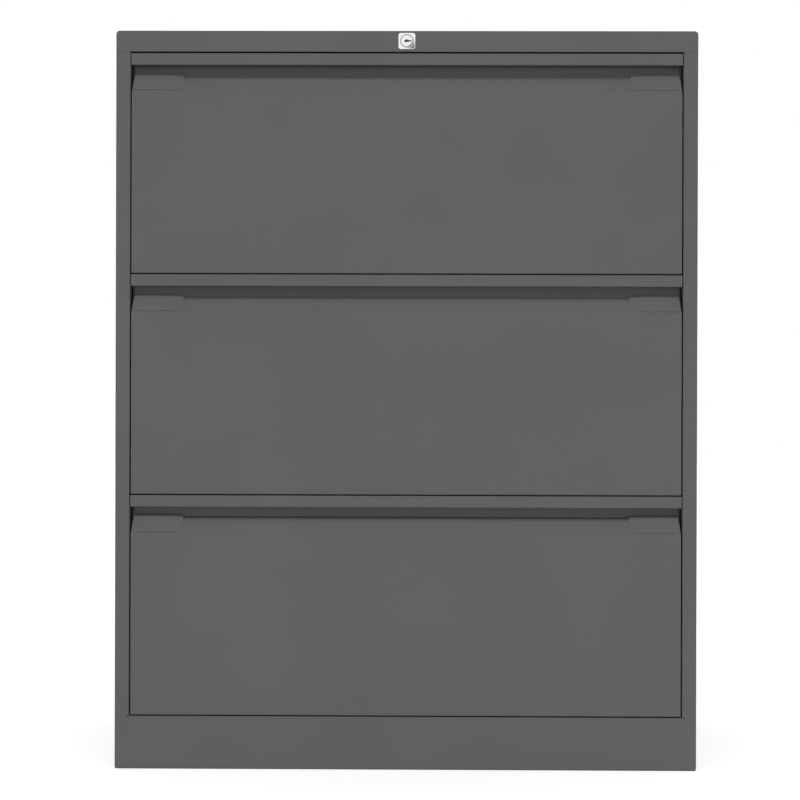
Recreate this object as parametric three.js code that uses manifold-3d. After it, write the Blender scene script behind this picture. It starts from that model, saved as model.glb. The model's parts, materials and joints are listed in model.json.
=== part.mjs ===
// Three-drawer lateral filing cabinet in folded sheet steel.
// Millimetres. +X to the right as seen from the front, +Z up, the front faces -Y.
// The origin is on the floor, under the middle of the cabinet.
import * as THREE from 'three';
import { mergeVertices } from 'three/addons/utils/BufferGeometryUtils.js';
import Module from 'manifold-3d';

// Overall sizes of the cabinet
const CABINET_WIDTH = 800;
const CABINET_HEIGHT = 1016;
const CABINET_DEPTH = 470;

// Carcass
const SHEET = 1;
const STILE_WIDTH = 20;
const STILE_RETURN = 54;
const STILE_CLOSING = 15;
const STILE_LAP = 6;
const FASCIA_HEIGHT = 29;
const PLINTH_HEIGHT = 73;
const FLOOR_FLANGE = 20;
const SIDE_FOLD_RADIUS = 2.5;
const FLOOR_FOLD_RADIUS = 3;
const CAP_CORNER_RADIUS = 5;
const CAP_FRONT_RADIUS = 2;
const CAP_FLANGE = 14;
const CAP_SEAM = 0.25;
const BASE_FLANGE = 25;
const BACK_BEAD_WIDTH = 24;
const BACK_BEAD_DEPTH = 3;
const BACK_BEAD_MARGIN = 30;
const CORNER_RELIEF = [4.5, 1.75];
const POST_DEPTH = 30;
const REAR_POST_FROM_BACK = 28;

// Drawer fronts and the gaps around them
const DRAWER_LEVELS = ['bottom', 'middle', 'top'];
const SIDE_GAP = 1.75;
const DRAWER_GAP = 1.5;
const TOP_GAP = 2;
const FRONT_DEPTH = 30;
const LIP_HEIGHT = 16.25;
const LIP_THICKNESS = 8;
const LIP_HEM = 7;
const LIP_OVERHANG = 0.75;
const FINGER_GAP = 15;
const LEAN_HEIGHT = 23;
const LEAN_SETBACK = 10;
const LEAN_BEND_RADIUS = 20;
const END_TAPER = 2;
const END_OPENING = 22;
const FRONT_EDGE_RADIUS = 1.5;
const FRONT_BOTTOM_FLANGE = 18;

// Label holders on the two ends of the leaning edge
const LABEL_WIDTH = 70;
const LABEL_END_INSET = 0.25;
const LABEL_THICKNESS = 1.25;
const LABEL_RISE = 3.25;
const LABEL_HOOK = 8;
const LABEL_FOOT = 4;
const LABEL_FOOT_EDGE = 0.75;
const LABEL_FOOT_SLOPE = 3;
const LABEL_CORNER = [4, 2.75];

// Drawer bodies
const TRAY_CLEARANCE_BELOW = 12;
const TRAY_REAR_SPACE = 5;
const TRAY_SIDE_DROP = 88.5;
const TRAY_HEM = 8;
const TRAY_BEAD_WIDTH = 24;
const TRAY_BEAD_RISE = 2;
const BACK_DROP = 26.5;
const LINER_MARGIN = 4.5;
const RAIL_END_GAP = 7.5;
const RAIL_DROP = 25.5;
const RAIL_FOOT = 12;
const RAIL_SHELF = 8;
const RAIL_LIP = 8;

// Telescopic slides: three nested channels on each side of a drawer
const SLIDE_THICKNESS = 12.5;
const SLIDE_SHORT_OF_TRAY = 13;
const SLIDE_HEIGHT_ABOVE_TRAY = 63;
const SLIDE_SHEET = 1.2;
const SLIDE_HALF_HEIGHT = 21.5;
const SLIDE_BEND_RADIUS = 1.6;
const BALL_RACE = 2.8;
const RACE_GAP = 0.6;
const LIP_INSET = 2;
const WEB_GAP = 0.7;

// Lock in the fascia, its shaft and the locking bar at the back
const LOCK_PLATE_WIDTH = 23.5;
const LOCK_PLATE_HEIGHT = 22.5;
const LOCK_PLATE_CORNER = 3.5;
const LOCK_PLATE_THICKNESS = 3;
const LOCK_PLATE_BEVEL = 0.75;
const LOCK_BARREL_RADIUS = 10.5;
const LOCK_BARREL_LENGTH = 24;
const PLUG_RADIUS = 8.25;
const PLUG_PROUD = 0.5;
const PLUG_LENGTH = 29.5;
const RUNNING_GAP = 0.25;
const KEYWAY_LEFT = 3;
const KEYWAY_RIGHT = 6.5;
const KEYWAY_WIDTH = 1.5;
const KEYWAY_WARD = 2.25;
const KEYWAY_WARD_HEIGHT = 2.5;
const KEYWAY_CROWN_RADIUS = 2;
const KEYWAY_DEPTH = 5;
const SHAFT_RADIUS = 4;
const SHAFT_COLLAR_RADIUS = 6;
const SHAFT_COLLAR_LENGTH = 8;
const CRANK_RADIUS = 10;
const CRANK_THICKNESS = 6;
const CRANK_PIN_RADIUS = 3;
const BAR_LIFT = 8;
const BAR_WIDTH = 28;
const BAR_THICKNESS = 3;
const BAR_BOTTOM = 100;
const BAR_TOP_WALL = 3.25;
const BAR_GAP_BEHIND = 3;
const BAR_PLAY = 0.4;
const GUIDE_HEIGHT = 20;
const GUIDE_FOOT = 14;
const GUIDE_SHEET = 1.25;
const LOWER_GUIDE_Z = 120;
const UPPER_GUIDE_DROP = 90;
const HOOK_WIDTH = 20;
const HOOK_SHEET = 3;
const HOOK_REACH = 12;
const HOOK_HEIGHT = 10;
const HOOK_FOOT = 16;
const CATCH_SHEET = 2;
const CATCH_HEIGHT = 170;
const CATCH_LIP = 12;
const CATCH_CLEARANCE = 2;
const SHAFT_BRACKET_FROM_CRANK = 22.75;
const SHAFT_BRACKET_WIDTH = 30;
const SHAFT_BRACKET_DROP = 25;
const SHAFT_BRACKET_FOOT = 15;
const SHAFT_BRACKET_SHEET = 1.5;

// Facets on bends and round pieces
const BEND_STEPS = 3;
const SOFT_BEND_STEPS = 6;
const ROUND_SEGMENTS = 32;

// Sizes worked out from the ones above
const onQuarter = (value) => Math.round(value * 4) / 4;
const lockProud = LOCK_PLATE_THICKNESS + PLUG_PROUD;
const frontY = -(CABINET_DEPTH - lockProud) / 2;
const halfWidth = CABINET_WIDTH / 2;
const halfOpening = halfWidth - STILE_WIDTH;
const halfFront = halfOpening - SIDE_GAP;
const halfTray = halfOpening - SLIDE_THICKNESS;
const seamZ = CABINET_HEIGHT - FASCIA_HEIGHT;
const backInner = CABINET_DEPTH - 2 * SHEET;
const openingHeight = seamZ - PLINTH_HEIGHT;
const drawerCount = DRAWER_LEVELS.length;
const frontHeight = onQuarter((openingHeight - TOP_GAP - drawerCount * DRAWER_GAP) / drawerCount);
const drawerPitch = frontHeight + DRAWER_GAP;
const firstDrawerZ = seamZ - TOP_GAP - drawerCount * frontHeight - (drawerCount - 1) * DRAWER_GAP;
const lipBottom = frontHeight - LIP_HEIGHT;
const leanTop = lipBottom - FINGER_GAP;
const leanBottom = leanTop - LEAN_HEIGHT;
const trayFront = FRONT_DEPTH + SHEET;
const barBack = backInner - BAR_GAP_BEHIND;
const barFront = barBack - BAR_THICKNESS;
const trayBack = barFront - HOOK_REACH - TRAY_REAR_SPACE - SHEET;
const slideFront = trayFront + 2 * SHEET;
const slideBack = slideFront + trayBack - trayFront - SLIDE_SHORT_OF_TRAY;
const railTop = frontHeight - RAIL_DROP;
const slideZ = TRAY_CLEARANCE_BELOW + SLIDE_HEIGHT_ABOVE_TRAY;
const lockZ = seamZ + FASCIA_HEIGHT / 2;
const plugBack = PLUG_LENGTH - lockProud;
const crankBack = barFront - RUNNING_GAP - CRANK_THICKNESS / 2;
const crankFront = crankBack - CRANK_THICKNESS;
const pinOffset = BAR_LIFT / 2;
const pinSwing = pinOffset * Math.SQRT2;

const PAINT = { color: 0x61615f, roughness: 0.55, metalness: 0.0 };
const ZINC = { color: 0xb4b7ba, roughness: 0.35, metalness: 1.0 };
const CHROME = { color: 0xd8dadc, roughness: 0.12, metalness: 1.0 };
const LABEL_PLASTIC = { color: 0x5f5f5d, roughness: 0.45, metalness: 0.0 };

const wasm = await Module();
wasm.setup();

// A closed geometry as a solid that can be joined and cut
function solidOf(geometry) {
  const bare = geometry.clone();
  bare.deleteAttribute('normal');
  bare.deleteAttribute('uv');
  const merged = mergeVertices(bare, 1e-4);
  return new wasm.Manifold(new wasm.Mesh({
    numProp: 3,
    vertProperties: new Float32Array(merged.attributes.position.array),
    triVerts: new Uint32Array(merged.index.array),
  }));
}

function geometryOf(solid) {
  const mesh = solid.getMesh();
  const geometry = new THREE.BufferGeometry();
  geometry.setAttribute('position', new THREE.BufferAttribute(new Float32Array(mesh.vertProperties), 3));
  geometry.setIndex(new THREE.BufferAttribute(new Uint32Array(mesh.triVerts), 1));
  geometry.computeVertexNormals();
  return geometry;
}

function join(first, ...others) {
  return geometryOf(others.reduce((sum, next) => sum.add(solidOf(next)), solidOf(first)));
}

function cut(first, ...tools) {
  return geometryOf(tools.reduce((rest, tool) => rest.subtract(solidOf(tool)), solidOf(first)));
}

// The same piece for the other hand: x turns round and every facet keeps facing out
function mirrored(geometry) {
  const flipped = mergeVertices(geometry.clone().scale(-1, 1, 1));
  const corners = flipped.index.array;
  for (let i = 0; i < corners.length; i += 3) {
    [corners[i], corners[i + 1]] = [corners[i + 1], corners[i]];
  }
  flipped.computeVertexNormals();
  return flipped;
}

function box(xs, ds, zs) {
  const block = new THREE.BoxGeometry(xs[1] - xs[0], ds[1] - ds[0], zs[1] - zs[0]);
  return block.translate((xs[0] + xs[1]) / 2, (ds[0] + ds[1]) / 2, (zs[0] + zs[1]) / 2);
}

// A round bar along the depth of the cabinet
function rodAlongDepth(radius, ds, x, z) {
  const rod = new THREE.CylinderGeometry(radius, radius, ds[1] - ds[0], ROUND_SEGMENTS);
  return rod.translate(x, (ds[0] + ds[1]) / 2, z);
}

// Section of a folded sheet. Each corner is [a, b, bend radius]; the corners lie on one face of
// the sheet, and its thickness lies to the right of the way from the first corner to the last.
function foldedSection(corners, thickness) {
  const points = corners.map(([a, b]) => new THREE.Vector2(a, b));
  const last = points.length - 1;
  const way = points.slice(1).map((point, i) => point.clone().sub(points[i]).normalize());
  const face = [];
  const other = [];
  const put = (point, normal) => {
    face.push(point.clone());
    other.push(point.clone().addScaledVector(normal, thickness));
  };
  const rightOf = (direction) => new THREE.Vector2(direction.y, -direction.x);
  put(points[0], rightOf(way[0]));
  for (let i = 1; i < last; i += 1) {
    const radius = corners[i][2];
    const turn = Math.atan2(way[i - 1].cross(way[i]), way[i - 1].dot(way[i]));
    const steps = radius > SIDE_FOLD_RADIUS * 2 ? SOFT_BEND_STEPS : BEND_STEPS;
    const tangent = radius * Math.tan(Math.abs(turn) / 2);
    const start = points[i].clone().addScaledVector(way[i - 1], -tangent);
    const inward = rightOf(way[i - 1]).multiplyScalar(-Math.sign(turn));
    const centre = start.clone().addScaledVector(inward, radius);
    for (let k = 0; k <= steps; k += 1) {
      const spoke = inward.clone().negate().rotateAround(new THREE.Vector2(), (turn * k) / steps);
      put(centre.clone().addScaledVector(spoke, radius), spoke.multiplyScalar(Math.sign(turn)));
    }
  }
  put(points[last], rightOf(way[last - 1]));
  return new THREE.Shape([...face, ...other.reverse()]);
}

function roundedRectangle(as, bs, radius) {
  const [a0, a1] = as;
  const [b0, b1] = bs;
  const shape = new THREE.Shape();
  shape.moveTo(a0 + radius, b0);
  shape.absarc(a1 - radius, b0 + radius, radius, -Math.PI / 2, 0, false);
  shape.absarc(a1 - radius, b1 - radius, radius, 0, Math.PI / 2, false);
  shape.absarc(a0 + radius, b1 - radius, radius, Math.PI / 2, Math.PI, false);
  shape.absarc(a0 + radius, b0 + radius, radius, Math.PI, 1.5 * Math.PI, false);
  return shape;
}

// Extrusions along the three directions. Sections are drawn in (d, z), (x, z) or (x, d),
// where d is the depth behind the front face.
const ALONG_X = new THREE.Matrix4().makeBasis(
  new THREE.Vector3(0, 1, 0), new THREE.Vector3(0, 0, 1), new THREE.Vector3(1, 0, 0));
const ALONG_DEPTH = new THREE.Matrix4().makeBasis(
  new THREE.Vector3(1, 0, 0), new THREE.Vector3(0, 0, 1), new THREE.Vector3(0, -1, 0));

function extrude(section, length, edgeRadius = 0) {
  return new THREE.ExtrudeGeometry(section, {
    depth: length - 2 * edgeRadius,
    curveSegments: BEND_STEPS,
    bevelEnabled: edgeRadius > 0,
    bevelThickness: edgeRadius,
    bevelSize: edgeRadius,
    bevelOffset: -edgeRadius,
    bevelSegments: BEND_STEPS,
  }).translate(0, 0, edgeRadius);
}

function alongX(section, xs, edgeRadius = 0) {
  return extrude(section, xs[1] - xs[0], edgeRadius).applyMatrix4(ALONG_X).translate(xs[0], 0, 0);
}

function alongDepth(section, ds, edgeRadius = 0) {
  return extrude(section, ds[1] - ds[0], edgeRadius).applyMatrix4(ALONG_DEPTH).translate(0, ds[1], 0);
}

function alongZ(section, zs) {
  return extrude(section, zs[1] - zs[0]).translate(0, 0, zs[0]);
}

// Side panel: a folded pan with a flange on the floor and a return behind. In front it is folded
// on into the stile, whose deep return carries the front ends of the slides.
function rightSidePanel() {
  const above = seamZ + STILE_WIDTH;
  const outline = roundedRectangle([0, CABINET_DEPTH], [0, above], FLOOR_FOLD_RADIUS);
  const outer = alongX(outline, [halfWidth - 2 * STILE_WIDTH, halfWidth], SIDE_FOLD_RADIUS);
  const hollowOutline = roundedRectangle(
    [SHEET, CABINET_DEPTH - SHEET], [SHEET, above + STILE_WIDTH], FLOOR_FOLD_RADIUS - SHEET);
  const hollow = alongX(
    hollowOutline, [halfWidth - 3 * STILE_WIDTH, halfWidth - SHEET], SIDE_FOLD_RADIUS - SHEET);
  const reach = [-STILE_WIDTH, CABINET_DEPTH + STILE_WIDTH];
  const inward = [halfWidth - 4 * STILE_WIDTH, halfOpening];
  const openSide = box(inward, reach, [-STILE_WIDTH, above + STILE_WIDTH]);
  const aboveSeam = box([0, CABINET_WIDTH], reach, [seamZ, above + 2 * STILE_WIDTH]);
  const stileZ = [PLINTH_HEIGHT, seamZ];
  const edgeSection = foldedSection(
    [[halfOpening + STILE_LAP, -SHEET, 0], [halfOpening - SHEET, -SHEET, 0]], 2 * SHEET);
  const stileEdge = alongZ(edgeSection, [PLINTH_HEIGHT, above]);
  const pan = cut(outer, hollow, openSide, aboveSeam, stileEdge);
  const stile = foldedSection([
    [halfOpening + 2 * STILE_LAP, 0, 0],
    [halfOpening, 0, FRONT_EDGE_RADIUS],
    [halfOpening, STILE_RETURN, CAP_FRONT_RADIUS],
    [halfOpening + STILE_CLOSING, STILE_RETURN, 0],
  ], SHEET);
  const [reliefLength, reliefWidth] = CORNER_RELIEF;
  const relief = new THREE.BoxGeometry(reliefLength, 3 * SHEET, reliefWidth)
    .rotateY(-Math.PI / 4)
    .translate(halfOpening + reliefLength / 4, SHEET / 2, PLINTH_HEIGHT - reliefLength / 4);
  return cut(join(pan, alongZ(stile, stileZ)), relief);
}

// Top cap: rounded pan whose front wall is the fascia that carries the lock
function topCap() {
  const below = seamZ - CAP_FLANGE;
  const bottom = seamZ + CAP_SEAM;
  const top = CABINET_HEIGHT;
  const outline = roundedRectangle([-halfWidth, halfWidth], [below, top], CAP_CORNER_RADIUS);
  const outer = alongDepth(outline, [0, CABINET_DEPTH], CAP_FRONT_RADIUS);
  const inside = halfWidth - SHEET;
  const hollowOutline = roundedRectangle(
    [-inside, inside], [below - CAP_FLANGE, top - SHEET], CAP_CORNER_RADIUS - SHEET);
  const hollow = alongDepth(hollowOutline, [SHEET, CABINET_DEPTH - SHEET], CAP_FRONT_RADIUS - SHEET);
  const underside = box([-CABINET_WIDTH, CABINET_WIDTH], [-SHEET, CABINET_DEPTH + SHEET], [0, bottom]);
  const pan = cut(outer, hollow, underside);
  const level = [bottom, bottom + SHEET];
  const flange = cut(
    box([SHEET / 2 - halfWidth, halfWidth - SHEET / 2], [SHEET / 2, CABINET_DEPTH - SHEET / 2], level),
    box([CAP_FLANGE - halfWidth, halfWidth - CAP_FLANGE], [CAP_FLANGE, CABINET_DEPTH - SHEET / 2],
      [0, CABINET_HEIGHT]));
  const lockHole = rodAlongDepth(LOCK_BARREL_RADIUS + RUNNING_GAP, [-SHEET, 2 * SHEET], 0, lockZ);
  return cut(join(pan, flange), lockHole);
}

// Back panel, stiffened by upright beads pressed inwards
function backPanel() {
  const wide = halfWidth - SIDE_FOLD_RADIUS;
  const outside = backInner + SHEET;
  const slope = BACK_BEAD_DEPTH;
  const half = BACK_BEAD_WIDTH / 2;
  const beadZ = [PLINTH_HEIGHT + BACK_BEAD_MARGIN, seamZ - BACK_BEAD_MARGIN];
  const middles = [-2, -1, 1, 2].map((k) => onQuarter((k * halfOpening) / 3));
  const sheet = box([-wide, wide], [backInner, outside], [FLOOR_FOLD_RADIUS, seamZ - SHEET]);
  const through = [backInner - SHEET, outside + SHEET];
  const windows = middles.map((x) => box([x - half, x + half], through, beadZ));
  const beads = middles.flatMap((x) => {
    const section = foldedSection([
      [x - half - slope, outside, 0],
      [x - half, outside, FRONT_EDGE_RADIUS],
      [x - half + slope, outside - BACK_BEAD_DEPTH, FRONT_EDGE_RADIUS],
      [x + half - slope, outside - BACK_BEAD_DEPTH, FRONT_EDGE_RADIUS],
      [x + half, outside, FRONT_EDGE_RADIUS],
      [x + half + slope, outside, 0],
    ], SHEET);
    const ends = [beadZ[0] - SHEET / 2, beadZ[1] - SHEET / 2].map((z) => box(
      [x - half, x + half], [backInner - BACK_BEAD_DEPTH, outside], [z, z + SHEET]));
    return [alongZ(section, beadZ), ...ends];
  });
  return join(cut(sheet, ...windows), ...beads);
}

function basePan() {
  const low = PLINTH_HEIGHT - BASE_FLANGE;
  const section = foldedSection([
    [SHEET, low, 0],
    [SHEET, PLINTH_HEIGHT, CAP_FRONT_RADIUS],
    [backInner, PLINTH_HEIGHT, CAP_FRONT_RADIUS],
    [backInner, low, 0],
  ], SHEET);
  return alongX(section, [-halfOpening, halfOpening]);
}

function plinth() {
  const section = foldedSection([
    [FLOOR_FLANGE, 0, 0],
    [0, 0, FLOOR_FOLD_RADIUS],
    [0, PLINTH_HEIGHT, 0],
  ], SHEET);
  return alongX(section, [-halfOpening, halfOpening]);
}

// Upright channel that the rear ends of the slides are screwed to, open towards the side panel
function rightRearPost() {
  const setback = backInner - REAR_POST_FROM_BACK - POST_DEPTH;
  const outside = halfWidth - SHEET;
  const section = foldedSection([
    [outside, setback, 0],
    [halfOpening, setback, CAP_FRONT_RADIUS],
    [halfOpening, setback + POST_DEPTH, CAP_FRONT_RADIUS],
    [outside, setback + POST_DEPTH, 0],
  ], SHEET);
  return alongZ(section, [FLOOR_FOLD_RADIUS, seamZ - SHEET]);
}

// The ends of a drawer front draw in a little along its leaning edge
function drawnIn(geometry) {
  const places = geometry.attributes.position;
  for (let i = 0; i < places.count; i += 1) {
    const x = places.getX(i);
    const along = THREE.MathUtils.clamp((places.getZ(i) - leanBottom) / LEAN_HEIGHT, 0, 1);
    if (Math.abs(x) > halfFront - LABEL_WIDTH / 2) places.setX(i, x - Math.sign(x) * END_TAPER * along);
  }
  return geometry;
}

// Drawer front: pull lip, finger recess, leaning top edge and panel, folded from one sheet
function drawerFront() {
  const ceiling = frontHeight - SHEET;
  const wall = FRONT_DEPTH - SHEET;
  const hem = LIP_THICKNESS - SHEET;
  const lipFace = [
    [SHEET, ceiling, FRONT_EDGE_RADIUS - SHEET],
    [SHEET, lipBottom + SHEET, FRONT_EDGE_RADIUS - SHEET],
    [hem, lipBottom + SHEET, FRONT_EDGE_RADIUS - SHEET],
    [hem, lipBottom + LIP_HEM, 0],
  ];
  const whole = foldedSection([
    [FRONT_BOTTOM_FLANGE, 0, 0],
    [0, 0, FRONT_EDGE_RADIUS],
    [0, leanBottom, LEAN_BEND_RADIUS],
    [LEAN_SETBACK, leanTop, CAP_FRONT_RADIUS],
    [wall, leanTop, CAP_FRONT_RADIUS],
    [wall, ceiling, CAP_FRONT_RADIUS],
    ...lipFace,
  ], SHEET);
  const lip = foldedSection([[LEAN_SETBACK, ceiling, 0], ...lipFace], SHEET);
  const endPlate = new THREE.Shape([
    [SHEET / 2, SHEET / 2],
    [SHEET / 2, leanBottom - LEAN_BEND_RADIUS / 2],
    [LEAN_SETBACK + SHEET, leanTop - SHEET / 2],
    [END_OPENING, leanTop - SHEET / 2],
    [END_OPENING, lipBottom + SHEET / 2],
    [LIP_THICKNESS, lipBottom + SHEET / 2],
    [LIP_THICKNESS, frontHeight - SHEET / 2],
    [FRONT_DEPTH, frontHeight - SHEET / 2],
    [FRONT_DEPTH, leanTop],
    [FRONT_DEPTH, leanBottom],
    [FRONT_DEPTH, SHEET / 2],
  ].map(([d, z]) => new THREE.Vector2(d, z)));
  return join(
    drawnIn(alongX(whole, [-halfFront, halfFront])),
    alongX(lip, [-halfFront - LIP_OVERHANG, halfFront + LIP_OVERHANG]),
    drawnIn(alongX(endPlate, [halfFront - SHEET, halfFront])),
    drawnIn(alongX(endPlate, [-halfFront, SHEET - halfFront])));
}

// Inner panel that closes the drawer front from behind, with a flange under it
function drawerLiner() {
  const section = foldedSection([
    [trayFront, frontHeight - LINER_MARGIN, 0],
    [trayFront, LINER_MARGIN, FRONT_EDGE_RADIUS],
    [FRONT_BOTTOM_FLANGE + SHEET, LINER_MARGIN, 0],
  ], SHEET);
  return alongX(section, [LINER_MARGIN - halfFront, halfFront - LINER_MARGIN]);
}

// Drawer tray: base and sides in one sheet, with beads pressed up along the base
function drawerTray() {
  const low = TRAY_CLEARANCE_BELOW;
  const high = frontHeight - TRAY_SIDE_DROP;
  const half = TRAY_BEAD_WIDTH / 2;
  const raised = low + TRAY_BEAD_RISE;
  const beads = [2, 0, -2].flatMap((k) => {
    const x = onQuarter((k * halfTray) / 3);
    return [
      [x + half, low, FRONT_EDGE_RADIUS],
      [x + half - TRAY_BEAD_RISE, raised, FRONT_EDGE_RADIUS],
      [x - half + TRAY_BEAD_RISE, raised, FRONT_EDGE_RADIUS],
      [x - half, low, FRONT_EDGE_RADIUS],
    ];
  });
  const section = foldedSection([
    [halfTray - TRAY_HEM, high, 0],
    [halfTray, high, FRONT_EDGE_RADIUS],
    [halfTray, low, CAP_FRONT_RADIUS],
    ...beads,
    [-halfTray, low, CAP_FRONT_RADIUS],
    [-halfTray, high, FRONT_EDGE_RADIUS],
    [TRAY_HEM - halfTray, high, 0],
  ], SHEET);
  return alongDepth(section, [trayFront, trayBack]);
}

// Drawer back with the catch that the locking bar hooks into
function drawerBack() {
  const low = TRAY_CLEARANCE_BELOW;
  const section = foldedSection([
    [trayBack + SHEET - TRAY_HEM, frontHeight - BACK_DROP, 0],
    [trayBack + SHEET, frontHeight - BACK_DROP, FRONT_EDGE_RADIUS],
    [trayBack + SHEET, low, 0],
  ], SHEET);
  const lipBack = barFront - HOOK_REACH + HOOK_SHEET + CATCH_CLEARANCE + CATCH_SHEET;
  const catchSection = foldedSection([
    [trayBack + SHEET / 2, CATCH_HEIGHT, 0],
    [lipBack, CATCH_HEIGHT, CATCH_SHEET + FRONT_EDGE_RADIUS],
    [lipBack, CATCH_HEIGHT - CATCH_LIP, 0],
  ], CATCH_SHEET);
  return join(
    alongX(section, [-halfTray, halfTray]),
    alongX(catchSection, [-HOOK_WIDTH / 2, HOOK_WIDTH / 2]));
}

// Hanging rail for suspension files; facing is 1 on the liner and -1 on the drawer back
function hangingRail(seat, facing) {
  const shelf = railTop - RAIL_LIP;
  const corners = [
    [seat, shelf - RAIL_FOOT, 0],
    [seat, shelf, FRONT_EDGE_RADIUS],
    [seat + facing * RAIL_SHELF, shelf, FRONT_EDGE_RADIUS - SHEET],
    [seat + facing * RAIL_SHELF, railTop, 0],
  ];
  const section = foldedSection(facing > 0 ? corners : corners.reverse(), SHEET);
  return alongX(section, [RAIL_END_GAP - halfTray, halfTray - RAIL_END_GAP]);
}

// Label holder: a moulded strip that lies on the leaning edge and hooks over its top. Its inner
// top corner is cut off at a slant.
function labelHolder() {
  const lean = new THREE.Vector2(LEAN_SETBACK, LEAN_HEIGHT).normalize();
  const out = new THREE.Vector2(-lean.y, lean.x);
  const leanFoot = new THREE.Vector2(0, leanBottom);
  const seatAt = (rise, offset) => leanFoot.clone()
    .addScaledVector(lean, rise / lean.y)
    .addScaledVector(out, offset);
  const seatGap = RUNNING_GAP;
  const top = leanTop + LABEL_RISE;
  const outerTopRise = LEAN_HEIGHT + LABEL_RISE - LABEL_THICKNESS * out.y;
  const hookBack = LEAN_SETBACK + LABEL_HOOK;
  const section = new THREE.Shape([
    seatAt(LABEL_FOOT, seatGap),
    seatAt(LEAN_HEIGHT - CAP_FRONT_RADIUS / 2, seatGap),
    new THREE.Vector2(LEAN_SETBACK, leanTop + seatGap),
    new THREE.Vector2(hookBack, leanTop + seatGap),
    new THREE.Vector2(hookBack, top - LABEL_THICKNESS / 2),
    new THREE.Vector2(hookBack - LABEL_THICKNESS, top),
    seatAt(outerTopRise, LABEL_THICKNESS).addScaledVector(new THREE.Vector2(1, 0), LABEL_THICKNESS / 2),
    seatAt(outerTopRise - LABEL_THICKNESS / 2, LABEL_THICKNESS),
    seatAt(LABEL_FOOT + LABEL_FOOT_SLOPE, LABEL_THICKNESS),
    seatAt(LABEL_FOOT, LABEL_FOOT_EDGE),
  ]);
  const outerEnd = halfFront - SHEET - LABEL_END_INSET;
  const innerEnd = outerEnd - LABEL_WIDTH;
  const [cornerWidth, cornerHeight] = LABEL_CORNER;
  const corner = new THREE.Shape([
    new THREE.Vector2(innerEnd - cornerWidth, top - 2 * cornerHeight),
    new THREE.Vector2(innerEnd + 2 * cornerWidth, top + cornerHeight),
    new THREE.Vector2(innerEnd - cornerWidth, top + cornerHeight),
  ]);
  const strip = drawnIn(alongX(section, [innerEnd, outerEnd]));
  return cut(strip, alongDepth(corner, [-FRONT_DEPTH, FRONT_DEPTH]));
}

// Slide members on the right of a drawer, from the cabinet to the drawer side
function lippedChannel(webOutside, halfHeight, lipEnd) {
  const lip = halfTray + LIP_INSET;
  const web = halfTray + webOutside;
  return foldedSection([
    [lip, slideZ + lipEnd, 0],
    [lip, slideZ + halfHeight, SLIDE_BEND_RADIUS],
    [web, slideZ + halfHeight, SLIDE_BEND_RADIUS],
    [web, slideZ - halfHeight, SLIDE_BEND_RADIUS],
    [lip, slideZ - halfHeight, SLIDE_BEND_RADIUS],
    [lip, slideZ - lipEnd, 0],
  ], SLIDE_SHEET);
}

const slideSpan = [slideFront, slideBack];
const memberStep = SLIDE_SHEET + BALL_RACE;
const lipLength = BALL_RACE - RACE_GAP;
const intermediateHalf = SLIDE_HALF_HEIGHT - memberStep;
const innerHalf = intermediateHalf - memberStep;
const intermediateWeb = SLIDE_THICKNESS - SLIDE_SHEET - 2 * WEB_GAP;

function rightOuterSlide() {
  const lipEnd = SLIDE_HALF_HEIGHT - SLIDE_SHEET - lipLength;
  return alongDepth(lippedChannel(SLIDE_THICKNESS, SLIDE_HALF_HEIGHT, lipEnd), slideSpan);
}

function rightIntermediateSlide() {
  const lipEnd = intermediateHalf - SLIDE_SHEET - lipLength;
  return alongDepth(lippedChannel(intermediateWeb, intermediateHalf, lipEnd), slideSpan);
}

function rightInnerSlide() {
  const flangeEnd = halfTray + intermediateWeb - SLIDE_SHEET - WEB_GAP;
  const section = foldedSection([
    [flangeEnd, slideZ - innerHalf, 0],
    [halfTray, slideZ - innerHalf, SLIDE_BEND_RADIUS],
    [halfTray, slideZ + innerHalf, SLIDE_BEND_RADIUS],
    [flangeEnd, slideZ + innerHalf, 0],
  ], SLIDE_SHEET);
  return alongDepth(section, slideSpan);
}

// Lock: square plate and barrel, with the plug that turns in it
function lockHousing() {
  const plateSection = roundedRectangle(
    [-LOCK_PLATE_WIDTH / 2, LOCK_PLATE_WIDTH / 2],
    [lockZ - LOCK_PLATE_HEIGHT / 2, lockZ + LOCK_PLATE_HEIGHT / 2], LOCK_PLATE_CORNER);
  const plate = cut(
    alongDepth(plateSection, [-LOCK_PLATE_THICKNESS, LOCK_PLATE_THICKNESS], LOCK_PLATE_BEVEL),
    box([-LOCK_PLATE_WIDTH, LOCK_PLATE_WIDTH], [0, 2 * LOCK_PLATE_THICKNESS], [seamZ, CABINET_HEIGHT]));
  const barrel = rodAlongDepth(LOCK_BARREL_RADIUS, [-SHEET, LOCK_BARREL_LENGTH], 0, lockZ);
  const bore = rodAlongDepth(
    PLUG_RADIUS + RUNNING_GAP, [-lockProud - SHEET, LOCK_BARREL_LENGTH + SHEET], 0, lockZ);
  return cut(join(plate, barrel), bore);
}

function lockPlug() {
  const plug = new THREE.LatheGeometry([
    [0, -lockProud],
    [PLUG_RADIUS - PLUG_PROUD, -lockProud],
    [PLUG_RADIUS, PLUG_PROUD - lockProud],
    [PLUG_RADIUS, plugBack],
    [0, plugBack],
  ].map(([r, d]) => new THREE.Vector2(r, d)), ROUND_SEGMENTS).translate(0, 0, lockZ);
  const depths = [-lockProud - SHEET, KEYWAY_DEPTH - lockProud];
  const around = (height) => [lockZ - height / 2, lockZ + height / 2];
  const slot = box([-KEYWAY_LEFT, KEYWAY_RIGHT], depths, around(KEYWAY_WIDTH));
  const ward = box([-KEYWAY_LEFT, KEYWAY_WARD], depths, around(KEYWAY_WARD_HEIGHT));
  const crown = rodAlongDepth(KEYWAY_CROWN_RADIUS, depths, 0, lockZ + KEYWAY_WIDTH / 2);
  return cut(plug, join(slot, ward, crown));
}

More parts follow.
